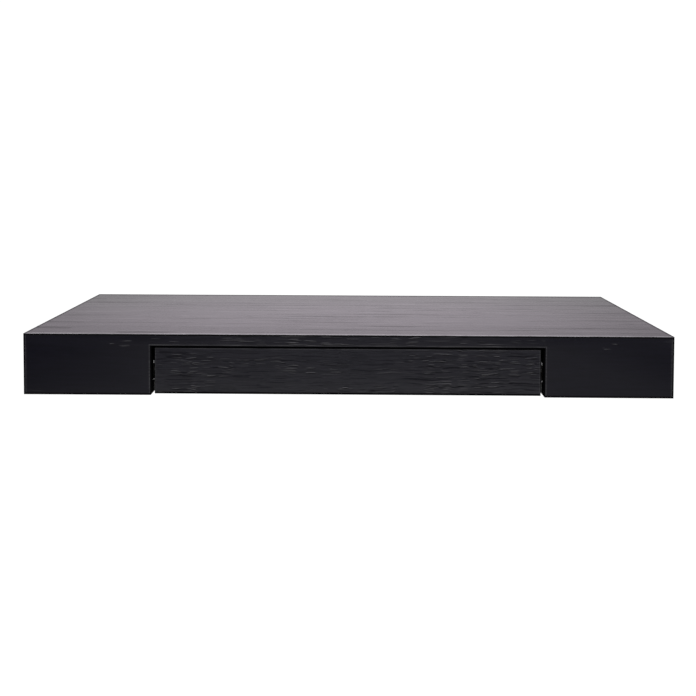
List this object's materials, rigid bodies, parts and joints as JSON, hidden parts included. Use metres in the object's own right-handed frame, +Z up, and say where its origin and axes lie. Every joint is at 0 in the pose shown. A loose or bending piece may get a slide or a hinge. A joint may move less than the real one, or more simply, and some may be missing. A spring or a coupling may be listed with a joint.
{
  "type": "floating shelf with drawer",
  "caption": "Wall-hung floating shelf: a box of black wood-grain board on a hidden wall bracket, with a flush drawer between two hollow blocks, on ball slides and pulled by its lower edge.",
  "frame": {"origin": "on the wall plane, at the centre of the wall rail's back face", "axes": "+X along the shelf's width, +Y into the wall, +Z up; the front and the drawer face -Y"},
  "size_m": [0.8, 0.25, 0.076],
  "materials": {
    "black_oak_foil": "wood-grain foil on board, satin, grain along the width",
    "black_foil": "plain black foil on board, satin",
    "hardboard": "black painted hardboard, matt",
    "pine": "planed, untreated",
    "beech": "turned and fluted, untreated",
    "zinc_steel": "bright zinc plated sheet and bar",
    "screw_steel": "zinc plated",
    "ball_steel": "polished",
    "rubber": "moulded, matt"
  },
  "bodies": {
    "shelf": {"bay_rear_rail": "black_foil", "carcass_dowels": "beech", "front_fascia": "black_oak_foil", "left_bay_wall": "black_foil", "left_block_bottom": "black_foil", "left_end_panel": "black_oak_foil", "left_outer_rail": "zinc_steel", "left_outer_rail_screws": "screw_steel", "left_rail_buffer": "rubber", "left_rear_batten": "pine", "left_rod_batten": "pine", "lock_screws": "screw_steel", "right_bay_wall": "black_foil", "right_block_bottom": "black_foil", "right_end_panel": "black_oak_foil", "right_outer_rail": "zinc_steel", "right_outer_rail_screws": "screw_steel", "right_rail_buffer": "rubber", "right_rear_batten": "pine", "right_rod_batten": "pine", "support_rods": "zinc_steel", "top_panel": "black_oak_foil", "wall_rail": "zinc_steel"},
    "drawer": {"drawer_back": "black_foil", "drawer_bottom": "hardboard", "drawer_bottom_screws": "screw_steel", "drawer_dowels": "beech", "drawer_front": "black_oak_foil", "drawer_left_side": "black_foil", "drawer_right_side": "black_foil", "left_inner_rail": "zinc_steel", "left_inner_rail_screws": "screw_steel", "right_inner_rail": "zinc_steel", "right_inner_rail_screws": "screw_steel"},
    "left_cage": {"left_ball_cage": "zinc_steel", "left_cage_balls": "ball_steel"},
    "right_cage": {"right_ball_cage": "zinc_steel", "right_cage_balls": "ball_steel"}
  },
  "joints": [
    {"name": "drawer_slide", "type": "slide", "parent": "shelf", "child": "drawer", "axis": [0, -1, 0], "range_m": [0, 0.14]},
    {"name": "left_cage_roll", "type": "slide", "parent": "shelf", "child": "left_cage", "axis": [0, -1, 0], "range_m": [0, 0.07]},
    {"name": "right_cage_roll", "type": "slide", "parent": "shelf", "child": "right_cage", "axis": [0, -1, 0], "range_m": [0, 0.07]}
  ],
  "couplings": [
    {"joint": "left_cage_roll", "follows": "drawer_slide", "ratio": 0.5},
    {"joint": "right_cage_roll", "follows": "drawer_slide", "ratio": 0.5}
  ]
}
